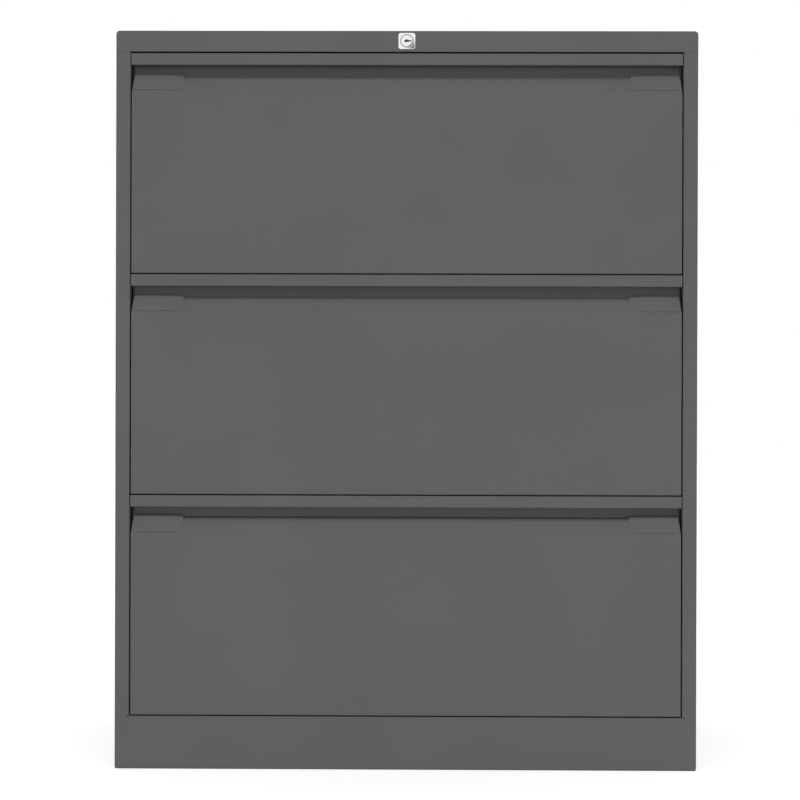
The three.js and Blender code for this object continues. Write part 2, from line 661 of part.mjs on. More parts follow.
// Shaft from the plug to the back, with a crank whose pin lifts the locking bar
function lockShaft() {
  const collarBack = plugBack + SHAFT_COLLAR_LENGTH;
  const shaft = new THREE.LatheGeometry([
    [0, plugBack],
    [SHAFT_COLLAR_RADIUS, plugBack],
    [SHAFT_COLLAR_RADIUS, collarBack],
    [SHAFT_RADIUS, collarBack],
    [SHAFT_RADIUS, crankFront],
    [CRANK_RADIUS, crankFront],
    [CRANK_RADIUS, crankBack],
    [0, crankBack],
  ].map(([r, d]) => new THREE.Vector2(r, d)), ROUND_SEGMENTS).translate(0, 0, lockZ);
  const pinSpan = [crankBack - SHEET, backInner - BAR_GAP_BEHIND / 2];
  return join(shaft, rodAlongDepth(CRANK_PIN_RADIUS, pinSpan, -pinOffset, lockZ - pinOffset));
}

function shaftBracket() {
  const bracketFront = crankFront - SHAFT_BRACKET_FROM_CRANK;
  const ceiling = CABINET_HEIGHT - SHEET;
  const section = foldedSection([
    [bracketFront, ceiling - SHAFT_BRACKET_DROP, 0],
    [bracketFront, ceiling, CAP_FRONT_RADIUS],
    [bracketFront + SHAFT_BRACKET_FOOT, ceiling, 0],
  ], SHAFT_BRACKET_SHEET);
  const plate = alongX(section, [-SHAFT_BRACKET_WIDTH / 2, SHAFT_BRACKET_WIDTH / 2]);
  const through = [bracketFront - SHEET, bracketFront + SHAFT_BRACKET_SHEET + SHEET];
  return cut(plate, rodAlongDepth(SHAFT_RADIUS + RUNNING_GAP, through, 0, lockZ));
}

// Locking bar: flat upright with a slot for the crank pin
function lockBar() {
  const slotX = -(pinOffset + pinSwing) / 2;
  const slotZ = lockZ - pinOffset;
  const slotHalfHeight = CRANK_PIN_RADIUS + BAR_PLAY;
  const slotHalfLength = (pinSwing - pinOffset) / 2 + slotHalfHeight;
  const barTop = slotZ + slotHalfHeight + BAR_TOP_WALL;
  const flat = box([-BAR_WIDTH / 2, BAR_WIDTH / 2], [barFront, barBack], [BAR_BOTTOM, barTop]);
  const slot = alongDepth(roundedRectangle(
    [slotX - slotHalfLength, slotX + slotHalfLength],
    [slotZ - slotHalfHeight, slotZ + slotHalfHeight], slotHalfHeight - RUNNING_GAP),
  [barFront - SHEET, barBack + SHEET]);
  return cut(flat, slot);
}

// Hook on the locking bar for the catch of one drawer
function lockHook() {
  const shelf = CATCH_HEIGHT - CATCH_LIP - CATCH_CLEARANCE - HOOK_HEIGHT;
  const section = foldedSection([
    [barFront - HOOK_SHEET, shelf - HOOK_FOOT, 0],
    [barFront - HOOK_SHEET, shelf, FRONT_EDGE_RADIUS],
    [barFront - HOOK_REACH, shelf, HOOK_SHEET + FRONT_EDGE_RADIUS],
    [barFront - HOOK_REACH, shelf + HOOK_HEIGHT, 0],
  ], HOOK_SHEET);
  return alongX(section, [-HOOK_WIDTH / 2, HOOK_WIDTH / 2]);
}

// Guide on the back panel that the locking bar slides behind
function barGuide(bottom) {
  const leg = BAR_WIDTH / 2 + BAR_PLAY;
  const bridge = barFront - BAR_PLAY;
  const foot = leg + GUIDE_FOOT;
  const section = foldedSection([
    [-foot, backInner, 0],
    [-leg, backInner, GUIDE_SHEET + RUNNING_GAP],
    [-leg, bridge, RUNNING_GAP],
    [leg, bridge, RUNNING_GAP],
    [leg, backInner, GUIDE_SHEET + RUNNING_GAP],
    [foot, backInner, 0],
  ], GUIDE_SHEET);
  return alongZ(section, [bottom, bottom + GUIDE_HEIGHT]);
}

function piece(name, geometry, finish) {
  const mesh = new THREE.Mesh(geometry, new THREE.MeshStandardMaterial(finish));
  mesh.name = name;
  return mesh;
}

function pair(name, rightGeometry, finish) {
  return [
    piece(name('right'), rightGeometry, finish),
    piece(name('left'), mirrored(rightGeometry), finish),
  ];
}

function carcass() {
  const group = new THREE.Group();
  group.add(
    ...pair((side) => `${side}_side_panel`, rightSidePanel(), PAINT),
    piece('top_cap', topCap(), PAINT),
    piece('back_panel', backPanel(), PAINT),
    piece('base_pan', basePan(), PAINT),
    piece('plinth', plinth(), PAINT),
    ...pair((side) => `rear_${side}_post`, rightRearPost(), ZINC),
  );
  return group;
}

function lockSet() {
  const group = new THREE.Group();
  group.add(
    piece('lock_housing', lockHousing(), CHROME),
    piece('lock_plug', lockPlug(), CHROME),
    piece('lock_shaft', lockShaft(), ZINC),
    piece('lock_shaft_bracket', shaftBracket(), ZINC),
    piece('lock_bar', lockBar(), ZINC),
    piece('lower_bar_guide', barGuide(LOWER_GUIDE_Z), ZINC),
    piece('upper_bar_guide', barGuide(seamZ - UPPER_GUIDE_DROP), ZINC),
  );
  return group;
}

// Everything that is repeated at each level
function drawer(level, shapes) {
  const group = new THREE.Group();
  const named = (part) => (side) => `${level}_drawer_${side}_${part}`;
  group.add(
    piece(`${level}_drawer_front`, shapes.front, PAINT),
    piece(`${level}_drawer_liner`, shapes.liner, PAINT),
    piece(`${level}_drawer_tray`, shapes.tray, PAINT),
    piece(`${level}_drawer_back`, shapes.back, PAINT),
    piece(`${level}_drawer_front_hanging_rail`, shapes.frontRail, ZINC),
    piece(`${level}_drawer_rear_hanging_rail`, shapes.rearRail, ZINC),
    piece(`${level}_lock_hook`, shapes.lockHook, ZINC),
    ...pair(named('label_holder'), shapes.label, LABEL_PLASTIC),
    ...pair(named('outer_slide'), shapes.outerSlide, ZINC),
    ...pair(named('intermediate_slide'), shapes.intermediateSlide, ZINC),
    ...pair(named('inner_slide'), shapes.innerSlide, ZINC),
  );
  return group;
}

const drawerShapes = {
  front: drawerFront(),
  liner: drawerLiner(),
  tray: drawerTray(),
  back: drawerBack(),
  frontRail: hangingRail(trayFront, 1),
  rearRail: hangingRail(trayBack, -1),
  lockHook: lockHook(),
  label: labelHolder(),
  outerSlide: rightOuterSlide(),
  intermediateSlide: rightIntermediateSlide(),
  innerSlide: rightInnerSlide(),
};

const cabinet = new THREE.Group();
cabinet.position.y = frontY;
cabinet.add(carcass(), lockSet());
DRAWER_LEVELS.forEach((level, k) => {
  const unit = drawer(level, drawerShapes);
  unit.position.z = firstDrawerZ + k * drawerPitch;
  cabinet.add(unit);
});

export default cabinet;
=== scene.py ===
import json
import math

import bmesh
import bpy
from mathutils import Matrix, Vector


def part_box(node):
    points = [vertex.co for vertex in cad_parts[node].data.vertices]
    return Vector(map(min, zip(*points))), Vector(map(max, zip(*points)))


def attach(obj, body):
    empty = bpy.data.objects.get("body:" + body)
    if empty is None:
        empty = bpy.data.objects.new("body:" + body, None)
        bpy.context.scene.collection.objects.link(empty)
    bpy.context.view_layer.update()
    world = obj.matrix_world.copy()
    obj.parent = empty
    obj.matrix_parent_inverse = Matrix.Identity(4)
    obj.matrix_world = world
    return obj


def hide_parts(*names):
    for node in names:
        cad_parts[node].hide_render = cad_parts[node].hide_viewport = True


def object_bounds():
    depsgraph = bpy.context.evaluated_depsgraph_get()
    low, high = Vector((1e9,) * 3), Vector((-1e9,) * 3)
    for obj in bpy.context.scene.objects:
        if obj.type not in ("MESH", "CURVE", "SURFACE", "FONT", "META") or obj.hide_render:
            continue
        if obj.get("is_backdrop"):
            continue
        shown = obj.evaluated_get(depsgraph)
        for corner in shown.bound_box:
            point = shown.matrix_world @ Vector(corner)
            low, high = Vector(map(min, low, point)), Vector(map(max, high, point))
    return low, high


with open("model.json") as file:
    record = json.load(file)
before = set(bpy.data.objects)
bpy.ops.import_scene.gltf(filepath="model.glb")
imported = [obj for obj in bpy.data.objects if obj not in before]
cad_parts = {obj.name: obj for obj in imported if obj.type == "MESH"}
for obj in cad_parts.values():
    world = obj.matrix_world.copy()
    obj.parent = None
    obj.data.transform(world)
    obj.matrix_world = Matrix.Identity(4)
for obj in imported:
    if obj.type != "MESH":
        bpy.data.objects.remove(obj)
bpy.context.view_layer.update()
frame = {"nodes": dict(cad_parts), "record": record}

# Sizes in millimetres. Depth is counted back from the front face, height from the floor.
MM = 0.001
LEVELS = ("bottom", "middle", "top")
SIDES = {"left": -1, "right": 1}
SHEET = 1.0
FRONT_FACE_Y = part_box("plinth")[0].y / MM

# Drawer fronts
front_low, front_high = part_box("bottom_drawer_front")
LIP_OVERHANG = 0.75
FIRST_FRONT_Z = front_low.z / MM
FRONT_PITCH = (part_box("middle_drawer_front")[0].z - front_low.z) / MM
FRONT_HEIGHT = (front_high.z - front_low.z) / MM
HALF_FRONT = front_high.x / MM - LIP_OVERHANG
FRONT_DEPTH = 30.0
LIP_HEIGHT = 16.25
LIP_BOTTOM = FRONT_HEIGHT - LIP_HEIGHT
LIP_THICKNESS = 8.0
LIP_HEM = 7.0
FINGER_GAP = 15.0
LEAN_HEIGHT = 23.0
LEAN_SETBACK = 10.0
LEAN_TOP = LIP_BOTTOM - FINGER_GAP
LEAN_BOTTOM = LEAN_TOP - LEAN_HEIGHT
LEAN_BEND = 20.0
LEAN_TOP_BEND = 9.0
END_TAPER = 2.0
END_OPENING = 22.0
BOTTOM_FLANGE = 18.0
EDGE_BEND = 1.5
RECESS_BEND = 2.0
BEND_STEP = math.radians(9)

# Label holders on the ends of the leaning edge
LABEL_WIDTH = 70.0
LABEL_OUTER = HALF_FRONT - SHEET - 0.25
LABEL_THICKNESS = 1.25
LABEL_SEAT = 0.25
LABEL_RISE = 3.25
LABEL_HOOK = 8.0
LABEL_FOOT = 4.0
LABEL_FOOT_EDGE = 0.95
LABEL_FOOT_SLOPE = 3.0
LABEL_CORNER = (4.0, 2.75)
LABEL_TOP_BEND = 6.0

# Slides
HALF_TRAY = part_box("bottom_drawer_tray")[1].x / MM
SLIDE_CENTRE = 75.0
SLIDE_SPAN = (33.0, 433.0)
SLIDE_SHEET = 1.2
SLIDE_BEND = 1.6
MIDDLE_WEB = 9.9
MIDDLE_LIP = 2.0
MIDDLE_HALF = 17.5
RACE_LIP = 2.2
INNER_FLANGE = 8.0
INNER_HALF = 13.5
MIDDLE_HOLES = (
    (46.0, 0, 0, 2.4), (75.0, 0, 6, 5.5), (118.0, 0, 9, 2.4), (150.0, 0, 0, 2.4), (176.0, 7.0, 0, 1.7),
    (176.0, -7.0, 0, 1.7), (233.0, 0, 6, 5.5), (290.0, 0, 9, 2.4), (345.0, 0, 0, 2.4), (391.0, 0, 6, 5.5),
)
INNER_HOLES = (
    (45.0, 0, 0, 2.4), (58.0, 0, 7, 2.4), (95.0, 3.0, 0, 2.4), (95.0, -3.0, 0, 2.4), (118.0, 0, 9, 2.4),
    (138.0, 0, 0, 3.2), (262.0, 0, 9, 2.4), (300.0, 0, 0, 3.2), (340.0, 0, 9, 2.4), (420.0, 0, 0, 2.4),
)
OUTER_CAGE = ((0.5, 10.85), 19.15, 6.2, (250.0, 425.0))
INNER_CAGE = ((0.4, 8.55), 15.15, 4.9, (40.0, 215.0))
BALL_RADIUS = 1.38
BALL_PITCH = 12.5
TRAY_SCREW_DEPTHS = (75.0, 233.0, 391.0)
LEVER_REACH = (1.35, 4.2)

# Lock
LOCK_Z = (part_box("lock_plug")[0].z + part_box("lock_plug")[1].z) / 2 / MM
PLATE_HALF = (11.7, 11.2)
PLATE_CORNER = 3.5
PLATE_EDGE = 0.9
PLATE_FACE = 3.0
PLATE_CROWN = 0.0014
PLATE_HOLE = 9.0
PLUG_RADIUS = 8.05
PLUG_FACE = 3.5

# Finishes, as linear colours
GRAPHITE = (0.112, 0.112, 0.108)
GRAPHITE_PALE = (0.126, 0.126, 0.121)
GRAPHITE_EDGE = (0.150, 0.150, 0.146)
ZINC = (0.56, 0.57, 0.58)
ZINC_CLOUD = (0.46, 0.47, 0.49)
CHROME = (0.90, 0.905, 0.91)
LABEL_GREY = (0.112, 0.112, 0.108)
LABEL_GREY_PALE = (0.126, 0.126, 0.121)
# Near black of the lock's tumblers, which is painted shade of the deep keyway; the pale one is also the black
# moulding's own colour
KEYWAY_SHADE_BLACK = (0.012, 0.012, 0.012)
OXIDE_PALE_AND_KEYWAY_SHADE = (0.022, 0.021, 0.020)
MOULDING_PALE = (0.032, 0.032, 0.033)
BACKGROUND = 1.0


# Shader groups that several finishes share

def shader_group(name, inputs, outputs):
    group = bpy.data.node_groups.new(name, "ShaderNodeTree")
    for label, kind, value in inputs:
        group.interface.new_socket(label, in_out="INPUT", socket_type=kind).default_value = value
    for label, kind in outputs:
        group.interface.new_socket(label, in_out="OUTPUT", socket_type=kind)
    return group, group.nodes.new("NodeGroupInput"), group.nodes.new("NodeGroupOutput")


def node(tree, kind, **settings):
    made = tree.nodes.new(kind)
    for key, value in settings.items():
        setattr(made, key, value)
    return made


def noise(tree, coordinates, scale, detail=2.0, roughness=0.5):
    made = node(tree, "ShaderNodeTexNoise")
    made.inputs["Detail"].default_value = detail
    made.inputs["Roughness"].default_value = roughness
    tree.links.new(coordinates, made.inputs["Vector"])
    if isinstance(scale, (int, float)):
        made.inputs["Scale"].default_value = scale
    else:
        tree.links.new(scale, made.inputs["Scale"])
    return made.outputs["Fac"]


def math_node(tree, operation, first, second, third=None, clamp=False):
    made = node(tree, "ShaderNodeMath", operation=operation, use_clamp=clamp)
    for socket, value in zip(made.inputs, (first, second, third)):
        if value is None:
            continue
        if isinstance(value, (int, float)):
            socket.default_value = value
        else:
            tree.links.new(value, socket)
    return made.outputs[0]


def ramp(tree, value, low, high):
    made = node(tree, "ShaderNodeMapRange", clamp=True)
    made.inputs["From Min"].default_value = low
    made.inputs["From Max"].default_value = high
    tree.links.new(value, made.inputs["Value"])
    return made.outputs["Result"]


def coating_grain_group():
    """Orange peel of a sprayed and baked coating, with the finer sparkle of its powder."""
    group, into, out = shader_group(
        "coating_grain",
        [("Peel Scale", "NodeSocketFloat", 700.0), ("Powder Scale", "NodeSocketFloat", 2600.0)],
        [("Height", "NodeSocketFloat"), ("Tone", "NodeSocketFloat")])
    place = node(group, "ShaderNodeTexCoord").outputs["Object"]
    peel = noise(group, place, into.outputs["Peel Scale"], 2.0, 0.45)
    powder = noise(group, place, into.outputs["Powder Scale"], 1.0, 0.6)
    height = math_node(group, "MULTIPLY_ADD", powder, 0.35, peel)
    cloud = noise(group, place, 7.0, 3.0, 0.55)
    tone = math_node(group, "MULTIPLY_ADD", powder, 0.45, math_node(group, "MULTIPLY", cloud, 0.55))
    group.links.new(height, out.inputs["Height"])
    group.links.new(ramp(group, tone, 0.3, 0.7), out.inputs["Tone"])
    return group


def edge_group():
    """Mask of outer edges and corners, where a coating lies thinner."""
    group, into, out = shader_group(
        "thin_edges", [("Width", "NodeSocketFloat", 0.0008)], [("Mask", "NodeSocketFloat")])
    soft = node(group, "ShaderNodeBevel", samples=4)
    group.links.new(into.outputs["Width"], soft.inputs["Radius"])
    true = node(group, "ShaderNodeNewGeometry").outputs["Normal"]
    facing = node(group, "ShaderNodeVectorMath", operation="DOT_PRODUCT")
    group.links.new(soft.outputs["Normal"], facing.inputs[0])
    group.links.new(true, facing.inputs[1])
    bend = math_node(group, "SUBTRACT", 1.0, facing.outputs["Value"])
    group.links.new(ramp(group, bend, 0.02, 0.25), out.inputs["Mask"])
    return group


def handling_group():
    """Faint cloudy marks of wiping and handling."""
    group, into, out = shader_group(
        "handling_marks", [("Scale", "NodeSocketFloat", 14.0)], [("Mask", "NodeSocketFloat")])
    place = node(group, "ShaderNodeTexCoord").outputs["Object"]
    broad = noise(group, place, into.outputs["Scale"], 4.0, 0.6)
    group.links.new(ramp(group, broad, 0.42, 0.72), out.inputs["Mask"])
    return group


def rolled_metal_group():
    """Rolling lines along the strip and the soft clouds of a plated surface."""
    group, into, out = shader_group(
        "rolled_metal", [("Stretch", "NodeSocketFloat", 0.02)],
        [("Height", "NodeSocketFloat"), ("Cloud", "NodeSocketFloat")])
    place = node(group, "ShaderNodeTexCoord").outputs["Object"]
    squeeze = node(group, "ShaderNodeCombineXYZ")
    squeeze.inputs["X"].default_value = 1.0
    squeeze.inputs["Z"].default_value = 1.0
    group.links.new(into.outputs["Stretch"], squeeze.inputs["Y"])
    along = node(group, "ShaderNodeVectorMath", operation="MULTIPLY")
    group.links.new(place, along.inputs[0])
    group.links.new(squeeze.outputs["Vector"], along.inputs[1])
    lines = noise(group, along.outputs["Vector"], 1500.0, 2.0, 0.6)
    cloud = noise(group, place, 90.0, 4.0, 0.6)
    group.links.new(lines, out.inputs["Height"])
    group.links.new(ramp(group, cloud, 0.35, 0.65), out.inputs["Cloud"])
    return group


COATING_GRAIN = coating_grain_group()
THIN_EDGES = edge_group()
HANDLING = handling_group()
ROLLED_METAL = rolled_metal_group()


class Finish:
    """A material with its Principled shader and short ways to wire it."""

    def __init__(self, name, roughness, metallic=0.0, specular=0.5):
        self.material = bpy.data.materials.new(name)
        self.material.use_nodes = True
        self.tree = self.material.node_tree
        self.shader = self.tree.nodes["Principled BSDF"]
        self.shader.inputs["Roughness"].default_value = roughness
        self.shader.inputs["Metallic"].default_value = metallic
        self.shader.inputs["Specular IOR Level"].default_value = specular

    def place(self, group, **values):
        made = node(self.tree, "ShaderNodeGroup", node_tree=group)
        for label, value in values.items():
            made.inputs[label.replace("_", " ")].default_value = value
        return made.outputs

    def mix(self, amount, first, second):
        made = node(self.tree, "ShaderNodeMix", data_type="RGBA")
        self.tree.links.new(amount, made.inputs[0])
        for socket, colour in ((made.inputs[6], first), (made.inputs[7], second)):
            if isinstance(colour, tuple):
                socket.default_value = (*colour, 1.0)
            else:
                self.tree.links.new(colour, socket)
        return made.outputs[2]

    def colour(self, output):
        self.tree.links.new(output, self.shader.inputs["Base Color"])

    def roughness_from(self, mask, low, high):
        made = node(self.tree, "ShaderNodeMapRange", clamp=True)
        made.inputs["To Min"].default_value = low
        made.inputs["To Max"].default_value = high
        self.tree.links.new(mask, made.inputs["Value"])
        self.tree.links.new(made.outputs["Result"], self.shader.inputs["Roughness"])

    def bump(self, height, strength, distance):
        made = node(self.tree, "ShaderNodeBump")
        made.inputs["Strength"].default_value = strength
        made.inputs["Distance"].default_value = distance
        self.tree.links.new(height, made.inputs["Height"])
        self.tree.links.new(made.outputs["Normal"], self.shader.inputs["Normal"])


def graphite_paint():
    finish = Finish("graphite_paint", 0.68, specular=0.15)
    grain = finish.place(COATING_GRAIN)
    edges = finish.place(THIN_EDGES)
    marks = finish.place(HANDLING)
    tone = finish.mix(grain["Tone"], GRAPHITE, GRAPHITE_PALE)
    thin = math_node(finish.tree, "MULTIPLY", edges["Mask"], 0.5)
    finish.colour(finish.mix(thin, tone, GRAPHITE_EDGE))
    finish.roughness_from(marks["Mask"], 0.66, 0.74)
    finish.bump(grain["Height"], 0.35, 0.00006)
    return finish.material


def label_plastic():
    finish = Finish("label_plastic", 0.6, specular=0.15)
    grain = finish.place(COATING_GRAIN, Peel_Scale=1500.0, Powder_Scale=4200.0)
    marks = finish.place(HANDLING, Scale=40.0)
    finish.colour(finish.mix(grain["Tone"], LABEL_GREY, LABEL_GREY_PALE))
    finish.roughness_from(marks["Mask"], 0.58, 0.66)
    finish.bump(grain["Height"], 0.25, 0.00004)
    return finish.material


def zinc_steel():
    finish = Finish("zinc_steel", 0.34, metallic=1.0)
    metal = finish.place(ROLLED_METAL)
    marks = finish.place(HANDLING, Scale=30.0)
    finish.colour(finish.mix(metal["Cloud"], ZINC, ZINC_CLOUD))
    finish.roughness_from(marks["Mask"], 0.30, 0.42)
    finish.bump(metal["Height"], 0.2, 0.00003)
    return finish.material


def chrome():
    finish = Finish("chrome", 0.08, metallic=1.0)
    marks = finish.place(HANDLING, Scale=160.0)
    finish.colour(finish.mix(marks["Mask"], CHROME, (0.84, 0.845, 0.85)))
    finish.roughness_from(marks["Mask"], 0.06, 0.14)
    return finish.material


# The lock's tumblers are real parts, but their near-black colour is painted shade, standing in for the dark of the
# deep keyway
def dark_oxide_and_keyway_shade():
    finish = Finish("dark_oxide_and_keyway_shade", 0.5, metallic=0.5, specular=0.3)
    metal = finish.place(ROLLED_METAL)
    finish.colour(finish.mix(metal["Cloud"], KEYWAY_SHADE_BLACK, OXIDE_PALE_AND_KEYWAY_SHADE))
    finish.roughness_from(metal["Cloud"], 0.45, 0.6)
    finish.bump(metal["Height"], 0.2, 0.00002)
    return finish.material


def black_moulding():
    finish = Finish("black_moulding", 0.5, specular=0.35)
    grain = finish.place(COATING_GRAIN, Peel_Scale=1800.0, Powder_Scale=5000.0)
    marks = finish.place(HANDLING, Scale=120.0)
    finish.colour(finish.mix(grain["Tone"], OXIDE_PALE_AND_KEYWAY_SHADE, MOULDING_PALE))
    finish.roughness_from(marks["Mask"], 0.42, 0.6)
    finish.bump(grain["Height"], 0.3, 0.00004)
    return finish.material


FINISHES = {
    "graphite_paint": graphite_paint(),
    "zinc_steel": zinc_steel(),
    "chrome": chrome(),
    "label_plastic": label_plastic(),
    "dark_oxide_and_keyway_shade": dark_oxide_and_keyway_shade(),
    "black_moulding": black_moulding(),
}


# Making and finishing pieces

def soften(piece, width, segments=2, weld=False):
    """Rounds a piece's sharp edges and keeps its flat faces flat."""
    piece.data.polygons.foreach_set("use_smooth", [True] * len(piece.data.polygons))
    if weld:
        piece.modifiers.new("closed_corners", "WELD").merge_threshold = 1e-6
    if width:
        rounding = piece.modifiers.new("rounded_edges", "BEVEL")
        rounding.width = width * MM
        rounding.segments = segments
        rounding.limit_method = "ANGLE"
        rounding.angle_limit = math.radians(40)
        rounding.use_clamp_overlap = True
    else:
        piece.data.set_sharp_from_angle(angle=math.radians(40))
    normals = piece.modifiers.new("flat_faces", "WEIGHTED_NORMAL")
    normals.keep_sharp = True


def at(x, depth, height):
    return Vector((x, depth + FRONT_FACE_Y, height)) * MM


def bare_object(name, shells):
    """An object from closed shells, each a list of points (x, depth, height) and its faces."""
    mesh = bpy.data.meshes.new(name)
    points, faces = [], []
    for shell_points, shell_faces in shells:
        first = len(points)
        points += [at(*p) for p in shell_points]
        faces += [[first + i for i in face] for face in shell_faces]
    mesh.from_pydata(points, [], faces)
    shaped = bmesh.new()
    shaped.from_mesh(mesh)
    bmesh.ops.recalc_face_normals(shaped, faces=shaped.faces)
    shaped.to_mesh(mesh)
    shaped.free()
    made = bpy.data.objects.new(name, mesh)
    bpy.context.scene.collection.objects.link(made)
    return made


def piece_from(name, shells, body, slot, rounding=0.3, segments=2, stands_for=()):
    """A finished piece that rides on a body."""
    piece = bare_object(name, shells)
    piece.data.materials.append(FINISHES[slot])
    soften(piece, rounding, segments)
    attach(piece, body)
    if stands_for:
        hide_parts(*stands_for)
    return piece


def folded_faces(corners, thickness):
    """Both faces of a folded sheet's section. The corners (a, b, bend radius) lie on one face,
    and the sheet lies to the right of the way from the first corner to the last."""
    points = [Vector((a, b)) for a, b, _ in corners]
    ways = [(end - start).normalized() for start, end in zip(points, points[1:])]
    face, other = [], []

    def put(point, normal):
        face.append(point)
        other.append(point + normal * thickness)

    def right_of(way):
        return Vector((way.y, -way.x))

    put(points[0], right_of(ways[0]))
    for (_, _, radius), corner, before, after in zip(corners[1:], points[1:], ways, ways[1:]):
        turn = math.atan2(before.x * after.y - before.y * after.x, before.dot(after))
        side = math.copysign(1, turn)
        steps = max(2, math.ceil(abs(turn) / BEND_STEP))
        spoke = right_of(before) * side
        centre = corner - before * radius * math.tan(abs(turn) / 2) - spoke * radius
        for k in range(steps + 1):
            now = Matrix.Rotation(turn * k / steps, 2) @ spoke
            put(centre + now * radius, now * side)
    put(points[-1], right_of(ways[-1]))
    return face, other


def swept_sheet(section, stations, place):
    """A closed shell from a sheet's section, carried along the stations by place(point, station).
    The section is the sheet's two faces, or a function that gives them at a station."""
    points = []
    for station in stations:
        face, other = section(station) if callable(section) else section
        points += [place(p, station) for p in face + other[::-1]]
    width = len(face)
    count = 2 * width
    quads = []
    for k in range(len(stations) - 1):
        for i in range(count):
            j = (i + 1) % count
            quads.append([k * count + i, k * count + j, (k + 1) * count + j, (k + 1) * count + i])
    for first in (0, (len(stations) - 1) * count):
        for i in range(width - 1):
            quads.append([first + i, first + i + 1, first + count - 2 - i, first + count - 1 - i])
    return points, quads


def end_taper(point):
    """How far the ends of a drawer front draw in at a point of its section: most at the top of the
    leaning edge, and not at all on the wall behind the finger recess."""
    rise = (point.y - LEAN_BOTTOM) / LEAN_HEIGHT
    forward = (END_OPENING - point.x) / (END_OPENING - LEAN_SETBACK)
    return END_TAPER * min(1.0, max(0.0, min(rise, forward)))


def turned(profile, centre, along, segments=24, ring=False):
    """A turned shell: each (radius, offset along the axis, sides) is a circle, or a polygon where
    sides is given. A profile from pole to pole closes itself, a ring closes on its start."""
    across = along.orthogonal().normalized()
    third = along.cross(across)
    points, faces, loops = [], [], []
    for radius, offset, *sides in profile:
        middle = Vector(centre) + along * offset
        if radius == 0:
            loops.append([len(points)])
            points.append(tuple(middle))
            continue
        loops.append(list(range(len(points), len(points) + segments)))
        for k in range(segments):
            angle = 2 * math.pi * k / segments
            reach = radius
            if sides:
                sector = 2 * math.pi / sides[0]
                reach = radius / math.cos(angle % sector - sector / 2)
            points.append(tuple(middle + (across * math.cos(angle) + third * math.sin(angle)) * reach))
    if ring:
        loops.append(loops[0])
    for one, two in zip(loops, loops[1:]):
        for k in range(segments):
            corner = [one[k % len(one)], one[(k + 1) % segments % len(one)],
                      two[(k + 1) % segments % len(two)], two[k % len(two)]]
            faces.append(list(dict.fromkeys(corner)))
    return points, faces


def prism(outline, start, end, place):
    """A closed shell with the outline (a, b) at both ends, put in space by place(a, b, end)."""
    count = len(outline)
    points = [place(a, b, side) for side in (start, end) for a, b in outline]
    faces = [list(range(count)), list(range(2 * count - 1, count - 1, -1))]
    faces += [[i, (i + 1) % count, count + (i + 1) % count, count + i] for i in range(count)]
    return points, faces


def slot_outline(centre, length, radius, steps=10):
    """A round hole, or a slot of the given length between the centres of its round ends."""
    a, b = centre
    half = length / 2
    turns = [math.pi * k / steps for k in range(steps + 1)]
    ends = [(a + half + radius * math.sin(t), b - radius * math.cos(t)) for t in turns]
    ends += [(a - half - radius * math.sin(t), b + radius * math.cos(t)) for t in turns]
    return ends if length else ends[:steps + 1] + ends[steps + 2:-1]


def cut_out(piece, cutter):
    """Takes the cutter's shape out of a piece and removes the cutter."""
    carve = piece.modifiers.new("cut", "BOOLEAN")
    carve.object = cutter
    bpy.context.view_layer.update()
    whole = piece.data
    carved = piece.evaluated_get(bpy.context.evaluated_depsgraph_get())
    piece.data = bpy.data.meshes.new_from_object(carved)
    piece.modifiers.remove(carve)
    bpy.data.meshes.remove(whole)
    bpy.data.objects.remove(cutter)


BACKWARD = Vector((0, 1, 0))
FORWARD = Vector((0, -1, 0))
RIGHTWARD = Vector((1, 0, 0))


def socket_screw(centre, outward, radius=4.0, height=2.2):
    """Low pan head with a six-sided socket."""
    return turned([
        (0, -0.3), (radius, -0.3), (radius, 0.35 * height), (0.93 * radius, 0.7 * height),
        (0.78 * radius, 0.93 * height), (0.6 * radius, height), (0.42 * radius, height, 6),
        (0.42 * radius, 0.3 * height, 6), (0, 0.25 * height),
    ], centre, outward)


def blind_rivet(centre, outward, radius=3.4, height=1.1):
    """Domed rivet head with the pin's end sunk in the middle."""
    return turned([
        (0, -0.3), (radius, -0.3), (radius, 0.15 * height), (0.9 * radius, 0.55 * height),
        (0.68 * radius, 0.86 * height), (0.42 * radius, height), (0.34 * radius, height),
        (0.32 * radius, 0.6 * height), (0, 0.66 * height),
    ], centre, outward)


def ball(centre, radius):
    arc = [(radius * math.sin(math.pi * k / 8), -radius * math.cos(math.pi * k / 8)) for k in range(9)]
    arc[0] = (0, -radius)
    arc[-1] = (0, radius)
    return turned(arc, centre, BACKWARD, 12)


# Drawer fronts

def front_lip_corners():
    ceiling = FRONT_HEIGHT - SHEET
    hem = LIP_THICKNESS - SHEET
    inner = EDGE_BEND - SHEET
    return [
        (SHEET, ceiling, inner),
        (SHEET, LIP_BOTTOM + SHEET, inner),
        (hem, LIP_BOTTOM + SHEET, inner),
        (hem, LIP_BOTTOM + LIP_HEM, 0),
    ]


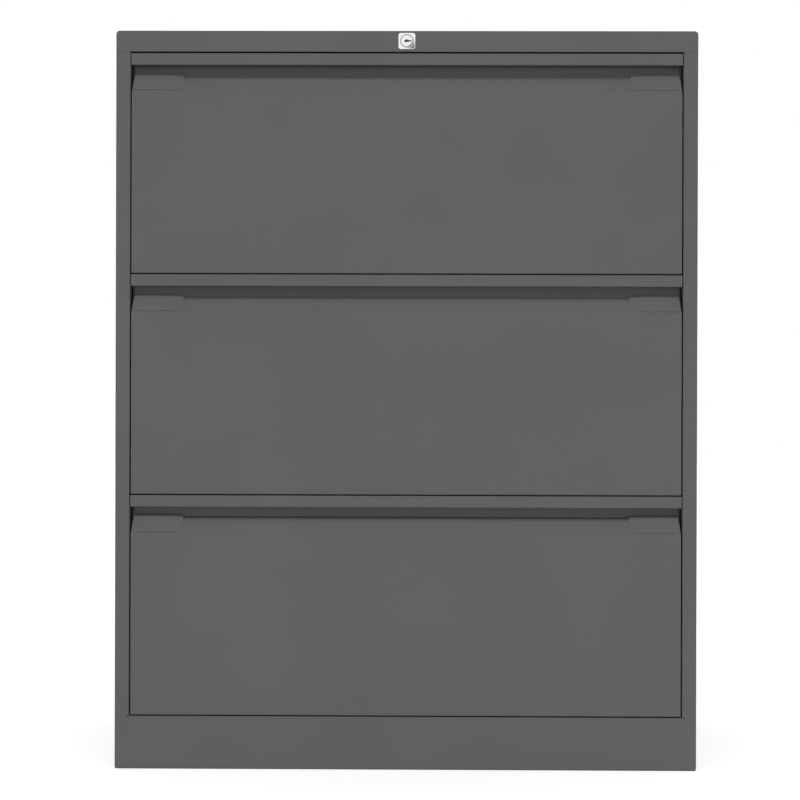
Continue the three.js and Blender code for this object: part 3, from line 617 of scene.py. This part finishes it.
def drawer_front(level, foot):
    ceiling = FRONT_HEIGHT - SHEET
    wall = FRONT_DEPTH - SHEET
    panel = folded_faces([
        (BOTTOM_FLANGE, 0, 0),
        (0, 0, EDGE_BEND),
        (0, LEAN_BOTTOM, LEAN_BEND),
        (LEAN_SETBACK, LEAN_TOP, LEAN_TOP_BEND),
        (wall, LEAN_TOP, RECESS_BEND),
        (wall, ceiling, RECESS_BEND),
        (LEAN_SETBACK, ceiling, 0),
    ], SHEET)
    lip = folded_faces([(LEAN_SETBACK, ceiling, 0), *front_lip_corners()], SHEET)

    def on_panel(point, x):
        return (x - math.copysign(end_taper(point), x), point.x, point.y + foot)

    def on_lip(point, x):
        return (x, point.x, point.y + foot)

    shells = [
        swept_sheet(panel, [-HALF_FRONT, HALF_FRONT], on_panel),
        swept_sheet(lip, [-HALF_FRONT - LIP_OVERHANG, HALF_FRONT + LIP_OVERHANG], on_lip),
    ]
    behind = panel[1]
    edge = [p for p in behind if p.x < END_OPENING - SHEET and p.y < LIP_BOTTOM]
    outline = edge + [
        Vector((END_OPENING, LEAN_TOP - SHEET)),
        Vector((END_OPENING, LIP_BOTTOM + SHEET)),
        Vector((LIP_THICKNESS, LIP_BOTTOM + SHEET)),
        Vector((LIP_THICKNESS, ceiling)),
        Vector((FRONT_DEPTH - 0.05, ceiling)),
        Vector((FRONT_DEPTH - 0.05, SHEET)),
    ]
    for side in SIDES.values():
        count = len(outline)
        points = []
        for inset in (0.02, SHEET):
            for p in outline:
                points.append((side * (HALF_FRONT - inset - end_taper(p)), p.x, p.y + foot))
        faces = [list(range(count)), list(range(count, 2 * count))]
        faces += [[i, (i + 1) % count, count + (i + 1) % count, count + i] for i in range(count)]
        shells.append((points, faces))
    return piece_from(f"{level}_front_panel", shells, f"{level}_drawer", "graphite_paint",
                      rounding=0.25, stands_for=[f"{level}_drawer_front"])


def label_holder(level, side, foot):
    """Moulded strip on the leaning edge, hooked over its top; its inner top corner is rounded off."""
    lean = Vector((LEAN_SETBACK, LEAN_HEIGHT)).normalized()
    out = Vector((-lean.y, lean.x))

    def seat(rise, offset):
        return Vector((0, LEAN_BOTTOM)) + lean * (rise / lean.y) + out * offset

    def over_the_top(offset, height, bend):
        """The bend at the top of the lean, from the leaning face to the level hook behind it."""
        shoulder = seat(height - LEAN_BOTTOM - offset * out.y, offset)
        return folded_faces([(*seat(LABEL_FOOT, offset), 0), (*shoulder, bend), (hook_back, height, 0)], 0)[0][1:-1]

    hook_back = LEAN_SETBACK + LABEL_HOOK
    top = LEAN_TOP + LABEL_RISE
    floor = LEAN_TOP + LABEL_SEAT
    slope = (LABEL_FOOT, LABEL_FOOT + 0.35 * LABEL_FOOT_SLOPE, LABEL_FOOT + LABEL_FOOT_SLOPE)
    front = [seat(*place) for place in zip(slope, (LABEL_FOOT_EDGE, LABEL_FOOT_EDGE + 0.18, LABEL_THICKNESS))]
    front += over_the_top(LABEL_THICKNESS, top, LABEL_TOP_BEND)
    front += [Vector((hook_back - 1.0, top)), Vector((hook_back, top - 0.6))]
    behind = [seat(rise, LABEL_SEAT) for rise in slope]
    behind += over_the_top(LABEL_SEAT, floor, RECESS_BEND)
    behind += [Vector((hook_back - 1.0, floor)), Vector((hook_back, floor))]
    corner_width, corner_drop = LABEL_CORNER
    inner = LABEL_OUTER - LABEL_WIDTH
    stations = [inner + corner_width * (1 - math.cos(k * math.pi / 12)) for k in range(7)]
    stations += [inner + 2 * corner_width, inner + 4 * corner_width, LABEL_OUTER]

    def thinned(x):
        fullness = min(1.0, 0.3 + 0.7 * (x - inner) / (4 * corner_width))
        shares = [fullness + (1 - fullness) * max(0, k - 3) / len(front) for k in range(len(front))]
        return [back.lerp(face, share) for face, back, share in zip(front, behind, shares)], behind

    def on_lean(point, x):
        along = min(1.0, (x - inner) / corner_width)
        ceiling = top - corner_drop * (1 - math.sqrt(1 - (1 - along) ** 2))
        taper = end_taper(point) if x > inner + corner_width else 0.0
        return (side * (x - taper), point.x, min(point.y, ceiling) + foot)

    return swept_sheet(thinned, stations, on_lean)


for index, level in enumerate(LEVELS):
    foot = FIRST_FRONT_Z + index * FRONT_PITCH
    drawer_front(level, foot)
    for side, sign in SIDES.items():
        piece_from(f"{level}_{side}_label_strip", [label_holder(level, sign, foot)], f"{level}_drawer",
                   "label_plastic", rounding=0.12, stands_for=[f"{level}_drawer_{side}_label_holder"])


# Slides: the two moving members with their holes, the ball cages between them, the screws that hold
# the drawer and the levers that free it

def beside_tray(sign, foot):
    """Puts a point (reach from the drawer side, height from the slide's middle) beside a drawer."""
    return lambda point, depth: (sign * (HALF_TRAY + point[0]), depth, foot + SLIDE_CENTRE + point[1])


def middle_member_corners():
    lip_end = MIDDLE_HALF - SLIDE_SHEET - RACE_LIP
    return [
        (MIDDLE_LIP, lip_end, 0),
        (MIDDLE_LIP, MIDDLE_HALF, SLIDE_BEND),
        (MIDDLE_WEB, MIDDLE_HALF, SLIDE_BEND),
        (MIDDLE_WEB, -MIDDLE_HALF, SLIDE_BEND),
        (MIDDLE_LIP, -MIDDLE_HALF, SLIDE_BEND),
        (MIDDLE_LIP, -lip_end, 0),
    ]


def inner_member_corners():
    return [
        (INNER_FLANGE, -INNER_HALF, 0),
        (0, -INNER_HALF, SLIDE_BEND),
        (0, INNER_HALF, SLIDE_BEND),
        (INNER_FLANGE, INNER_HALF, 0),
    ]


def slide_member(name, body, node_name, corners, holes, reach, place):
    """A folded channel along the drawer, with holes and slots (depth, height, length, radius)."""
    member = piece_from(name, [swept_sheet(folded_faces(corners, SLIDE_SHEET), SLIDE_SPAN, place)],
                        body, "zinc_steel", rounding=0, stands_for=[node_name])
    cutters = [prism(slot_outline((depth, height), length, radius), *reach,
                     lambda depth, height, out: place((out, height), depth))
               for depth, height, length, radius in holes]
    cut_out(member, bare_object(f"{name}_cutters", cutters))
    member.data.set_sharp_from_angle(angle=math.radians(40))


def ball_cage(place, web, half_height, ball_reach, depths):
    """Folded strip between two members, with a row of balls along each of its flanges."""
    thickness, far = web
    strip = folded_faces([
        (far - 7.0, half_height, 0),
        (far, half_height, 0.8),
        (far, -half_height, 0.8),
        (far - 7.0, -half_height, 0),
    ], thickness)
    shells = [swept_sheet(strip, depths, place)]
    count = int((depths[1] - depths[0] - 8) // BALL_PITCH)
    for k in range(count + 1):
        depth = depths[0] + 6 + k * BALL_PITCH
        for edge in (-1, 1):
            shells.append(ball(place((ball_reach, edge * (half_height - 0.25)), depth), BALL_RADIUS))
    return shells


def release_lever(place, outward):
    """Moulded lever in the inner member: a finger tab, a springy neck and a latching nose."""
    outline = [
        (152.0, -8.6), (158.0, -9.8), (166.0, -8.4), (172.0, -4.2), (180.0, -1.8), (204.0, -1.8),
        (210.0, -4.6), (220.0, -5.4), (224.0, -3.6), (224.0, 3.2), (219.0, 4.8), (211.0, 3.8),
        (205.0, 1.4), (180.0, 1.4), (171.0, 0.2), (163.0, -3.8), (153.0, -5.6),
    ]
    pivot = turned([(0, -0.3), (3.4, -0.3), (3.4, 0.9), (2.8, 1.4), (0, 1.4)],
                   place((LEVER_REACH[1], 0.0), 216.0), outward)
    return [prism(outline, *LEVER_REACH, lambda depth, height, out: place((out, height), depth)), pivot]


for index, level in enumerate(LEVELS):
    foot = FIRST_FRONT_Z + index * FRONT_PITCH
    drawer, slides = f"{level}_drawer", f"{level}_slides"
    for side, sign in SIDES.items():
        place = beside_tray(sign, foot)
        slide_member(f"{level}_{side}_middle_member", slides, f"{drawer}_{side}_intermediate_slide",
                     middle_member_corners(), MIDDLE_HOLES, (MIDDLE_WEB - 2, MIDDLE_WEB + 2), place)
        slide_member(f"{level}_{side}_inner_member", drawer, f"{drawer}_{side}_inner_slide",
                     inner_member_corners(), INNER_HOLES, (-1.0, SLIDE_SHEET + 1), place)
        cages = [shell for cage in (OUTER_CAGE, INNER_CAGE) for shell in ball_cage(place, *cage)]
        piece_from(f"{level}_{side}_ball_cages", cages, slides, "zinc_steel", rounding=0)
        outward = RIGHTWARD * sign
        screws = [socket_screw(place((SLIDE_SHEET, 0), depth), outward) for depth in TRAY_SCREW_DEPTHS]
        screws += [blind_rivet(place((-SHEET, 0), depth), -outward, 4.0, 1.6) for depth in TRAY_SCREW_DEPTHS]
        piece_from(f"{level}_{side}_slide_screws", screws, drawer, "zinc_steel", rounding=0)
        piece_from(f"{level}_{side}_release_lever", release_lever(place, outward), drawer, "black_moulding")


# Lock

def plate_outline(angle, inset):
    """Where a ray from the middle meets the plate's rounded square."""
    ray = Vector((math.cos(angle), math.sin(angle)))
    half = Vector((PLATE_HALF[0] - inset, PLATE_HALF[1] - inset))
    corner = max(0.4, PLATE_CORNER - inset)
    reach = min(half.x / max(abs(ray.x), 1e-9), half.y / max(abs(ray.y), 1e-9))
    hit = ray * reach
    hub = Vector((math.copysign(half.x - corner, ray.x), math.copysign(half.y - corner, ray.y)))
    if abs(hit.x) > abs(hub.x) and abs(hit.y) > abs(hub.y):
        across = ray.dot(hub)
        hit = ray * (across + math.sqrt(max(0.0, across * across - hub.dot(hub) + corner * corner)))
    return hit


def lock_plate():
    """Chrome cover: a slightly crowned square with rounded edges and a hole for the barrel."""
    count = 144

    def crowned(place):
        return PLATE_CROWN * place.dot(place) - PLATE_FACE

    loops = []
    angles = [2 * math.pi * k / count for k in range(count)]
    hole = [Vector((math.cos(a), math.sin(a))) for a in angles]
    loops.append([(p * PLATE_HOLE, 0.0) for p in hole])
    loops.append([(p * PLATE_HOLE, crowned(p * PLATE_HOLE) + 0.3) for p in hole])
    rims = [p * (PLATE_HOLE + 0.2) for p in hole]
    loops.append([(p, crowned(p)) for p in rims])
    inner_edge = [plate_outline(a, PLATE_EDGE) for a in angles]
    for share in (0.33, 0.66, 1.0):
        face = [rim.lerp(edge, share) for rim, edge in zip(rims, inner_edge)]
        loops.append([(p, crowned(p)) for p in face])
    for k in range(1, 6):
        turn = math.radians(18 * k)
        ring = [plate_outline(a, PLATE_EDGE * (1 - math.sin(turn))) for a in angles]
        sunk = PLATE_EDGE * (1 - math.cos(turn))
        loops.append([(p, crowned(edge) + sunk) for p, edge in zip(ring, inner_edge)])
    loops.append([(plate_outline(a, 0.0), 0.0) for a in angles])
    points = [(p.x, depth, LOCK_Z + p.y) for loop in loops for p, depth in loop]
    faces = []
    for i in range(len(loops)):
        j = (i + 1) % len(loops)
        for k in range(count):
            n = (k + 1) % count
            faces.append([i * count + k, i * count + n, j * count + n, j * count + k])
    return points, faces


def keyway(depths, shrink=1.0):
    """Prism of the keyway: a lying slot with a wider left part and a round crown over it."""
    crown = [(1.4 * math.cos(a), 0.8 + 1.4 * math.sin(a))
             for a in (math.radians(18.7 + 142.6 * k / 7) for k in range(8))]
    outline = [(6.5, -0.8), (6.5, 0.8), (2.25, 0.95), *crown, (-3.2, 1.25), (-3.2, -1.45), (2.25, -1.3),
               (2.25, -0.95)]
    return prism(outline, *depths, lambda x, z, depth: (x * shrink, depth, LOCK_Z + z * shrink))


LOCK_CENTRE = (0, 0, LOCK_Z)
piece_from("lock_cover_plate", [lock_plate()], "cabinet", "chrome", rounding=0, stands_for=["lock_housing"])
piece_from("lock_barrel_sleeve", [turned([
    (8.3, -2.0), (8.95, -2.0), (8.95, 0.3), (10.4, 0.3), (10.4, 24.0), (8.3, 24.0),
], LOCK_CENTRE, BACKWARD, 72, ring=True)], "cabinet", "zinc_steel", rounding=0.1, stands_for=["lock_housing"])
plug_back = (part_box("lock_plug")[1].y / MM) - FRONT_FACE_Y
plug = piece_from("lock_keyed_plug", [turned([
    (0, -PLUG_FACE), (4.3, -PLUG_FACE), (4.6, 0.1 - PLUG_FACE), (4.9, -PLUG_FACE),
    (PLUG_RADIUS - 0.5, -PLUG_FACE), (PLUG_RADIUS - 0.15, 0.12 - PLUG_FACE),
    (PLUG_RADIUS, 0.5 - PLUG_FACE), (PLUG_RADIUS, plug_back), (0, plug_back),
], LOCK_CENTRE, BACKWARD, 96)], "lock_barrel", "chrome", rounding=0, stands_for=["lock_plug"])
cut_out(plug, bare_object("keyway_cutter", [keyway((-PLUG_FACE - 1, 1.5))]))
plug.data.set_sharp_from_angle(angle=math.radians(30))
# Tumblers just behind the keyway's mouth, coloured near black as painted shade of the deep keyway
piece_from("lock_tumblers", [keyway((-2.6, 1.4), 0.97)], "lock_barrel", "dark_oxide_and_keyway_shade", rounding=0.05)


# Fixings on the back and inside

BACK_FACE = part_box("left_side_panel")[1].y / MM - FRONT_FACE_Y
RIVET_HEIGHTS = (40.0, 195.0, 350.0, 505.0, 660.0, 815.0, 960.0)
piece_from("back_rivets", [blind_rivet((sign * 390.0, BACK_FACE, height), BACKWARD)
                           for sign in SIDES.values() for height in RIVET_HEIGHTS],
           "cabinet", "zinc_steel", rounding=0)
PLINTH_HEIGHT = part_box("plinth")[1].z / MM
HALF_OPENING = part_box("plinth")[1].x / MM
GUSSET_OUTLINE = ((0.3, -17.0), (11.0, -17.0), (14.0, -14.0), (14.0, -0.6), (0.3, -0.6))
for side, sign in SIDES.items():
    piece_from(f"{side}_corner_gusset", [prism(GUSSET_OUTLINE, SHEET + 0.05, 2 * SHEET + 0.05, lambda out, up, depth: (
        sign * (HALF_OPENING + out), depth, PLINTH_HEIGHT + up))], "cabinet", "graphite_paint", rounding=0.15)
for name in ("lower_bar_guide", "upper_bar_guide"):
    low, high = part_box(name)
    middle = (low.z + high.z) / 2 / MM
    seat = high.y / MM - FRONT_FACE_Y - 1.25
    piece_from(f"{name}_screws", [socket_screw((sign * 21.5, seat, middle), FORWARD, 3.5, 1.9)
                                  for sign in SIDES.values()], "cabinet", "zinc_steel", rounding=0)
for level in LEVELS:
    low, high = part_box(f"{level}_lock_hook")
    foot_face = high.y / MM - FRONT_FACE_Y - 3.0
    piece_from(f"{level}_hook_rivets", [blind_rivet((x, foot_face, low.z / MM + 7.0), FORWARD, 2.6, 0.9)
                                        for x in (-5.0, 5.0)], "locking_bar", "zinc_steel", rounding=0)


# The CAD pieces that stay: their own finish and rounded edges

FLUSH_PIECES = ("plinth", "left_side_panel", "right_side_panel")
SLOT_OF = {part["node"]: part["material_slot"] for part in frame["record"]["subparts"]}
for name, piece in frame["nodes"].items():
    piece.data.materials.clear()
    piece.data.materials.append(FINISHES[SLOT_OF[name]])
    if not piece.hide_render:
        soften(piece, 0.0 if name in FLUSH_PIECES else 0.2, weld=True)


# Camera, light and floor

CAMERA_AT = at(26.1, -3100.0, 516.4)
CAMERA_YAW = math.radians(0.632)
CAMERA_PITCH = math.radians(-0.142)
CAMERA_ROLL = math.radians(-0.166)
LENS = 101.52

camera_data = bpy.data.cameras.new("camera")
camera_data.sensor_width = 36.0
camera_data.lens = LENS
camera_data.clip_end = 50.0
camera = bpy.data.objects.new("camera", camera_data)
camera.location = CAMERA_AT
aim = (Matrix.Rotation(CAMERA_YAW, 3, "Z") @ Matrix.Rotation(CAMERA_PITCH, 3, "X")
       @ Matrix.Rotation(CAMERA_ROLL, 3, "Y") @ Matrix.Rotation(math.radians(90), 3, "X"))
camera.rotation_euler = aim.to_euler()
bpy.context.scene.collection.objects.link(camera)
bpy.context.scene.camera = camera
bpy.context.scene.view_settings.view_transform = "Standard"


def shown_background(tree):
    """1 for the rays that see the background itself: the camera's and mirror or clear ones."""
    path = node(tree, "ShaderNodeLightPath").outputs
    seen = math_node(tree, "MAXIMUM", path["Is Camera Ray"], path["Is Glossy Ray"])
    return math_node(tree, "MAXIMUM", seen, path["Is Transmission Ray"])


AMBIENT_FRONT = 0.08
AMBIENT_BEHIND = 0.55
world = bpy.data.worlds.new("studio")
bpy.context.scene.world = world
world.use_nodes = True
sky = world.node_tree
direction = node(sky, "ShaderNodeSeparateXYZ")
sky.links.new(node(sky, "ShaderNodeTexCoord").outputs["Generated"], direction.inputs["Vector"])
room = node(sky, "ShaderNodeMapRange", clamp=True)
room.inputs["From Min"].default_value = -1.0
room.inputs["From Max"].default_value = 0.2
room.inputs["To Min"].default_value = AMBIENT_FRONT
room.inputs["To Max"].default_value = AMBIENT_BEHIND
sky.links.new(direction.outputs["Y"], room.inputs["Value"])
strength = node(sky, "ShaderNodeMapRange", clamp=True)
strength.inputs["To Max"].default_value = BACKGROUND
sky.links.new(room.outputs["Result"], strength.inputs["To Min"])
sky.links.new(shown_background(sky), strength.inputs["Value"])
sky.nodes["Background"].inputs["Color"].default_value = (1.0, 1.0, 1.0, 1.0)
sky.links.new(strength.outputs["Result"], sky.nodes["Background"].inputs["Strength"])


def softbox(name, strength, elevation, azimuth, spread):
    """A broad soft light from far away, the same over the whole object. Metal mirrors the white
    room instead of it."""
    light = bpy.data.lights.new(name, "SUN")
    light.energy = strength
    light.angle = math.radians(spread)
    lamp = bpy.data.objects.new(name, light)
    rise, side = math.radians(elevation), math.radians(azimuth)
    shines = Vector((math.cos(rise) * math.sin(side), math.cos(rise) * math.cos(side), -math.sin(rise)))
    lamp.rotation_euler = shines.to_track_quat("-Z", "Y").to_euler()
    lamp.visible_glossy = False
    bpy.context.scene.collection.objects.link(lamp)


softbox("front_softbox", 0.95, -2, 0, 14)
softbox("upper_softbox", 1.17, 32, 0, 54)

FLOOR_REACH = 14.0
FLOOR_TONE = 0.8
FLOOR_GLOW = 0.62
floor_mesh = bpy.data.meshes.new("floor")
floor_mesh.from_pydata(
    [(-FLOOR_REACH, -FLOOR_REACH, 0), (FLOOR_REACH, -FLOOR_REACH, 0),
     (FLOOR_REACH, FLOOR_REACH, 0), (-FLOOR_REACH, FLOOR_REACH, 0)], [], [(0, 1, 2, 3)])
floor = bpy.data.objects.new("floor", floor_mesh)
floor_material = bpy.data.materials.new("pale_floor")
floor_material.use_nodes = True
ground = floor_material.node_tree
ground.nodes.remove(ground.nodes["Principled BSDF"])
matt = node(ground, "ShaderNodeBsdfDiffuse")
matt.inputs["Color"].default_value = (FLOOR_TONE, FLOOR_TONE, FLOOR_TONE, 1.0)
glow = node(ground, "ShaderNodeEmission")
ground.links.new(math_node(ground, "MULTIPLY", shown_background(ground), FLOOR_GLOW),
                 glow.inputs["Strength"])
both = node(ground, "ShaderNodeAddShader")
ground.links.new(matt.outputs["BSDF"], both.inputs[0])
ground.links.new(glow.outputs["Emission"], both.inputs[1])
ground.links.new(both.outputs["Shader"], ground.nodes["Material Output"].inputs["Surface"])
floor_mesh.materials.append(floor_material)
bpy.context.scene.collection.objects.link(floor)
floor.visible_shadow = False
floor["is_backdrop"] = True

# A grey card beside the camera, which only the polished lock mirrors
card_mesh = bpy.data.meshes.new("grey_card")
card_mesh.from_pydata([at(x, -5000.0, z) for x, z in (
    (0, 300), (1400, 300), (1400, 1760), (300, 1760), (0, 1420))], [], [(0, 1, 2, 3, 4)])
card = bpy.data.objects.new("grey_card", card_mesh)
card_material = bpy.data.materials.new("grey_card")
card_material.use_nodes = True
card_material.node_tree.nodes["Principled BSDF"].inputs["Base Color"].default_value = (0.3, 0.3, 0.3, 1.0)
card_mesh.materials.append(card_material)
bpy.context.scene.collection.objects.link(card)
card.visible_camera = False
card.visible_diffuse = False
card.visible_shadow = False
card.visible_transmission = False
card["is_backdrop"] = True

low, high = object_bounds()
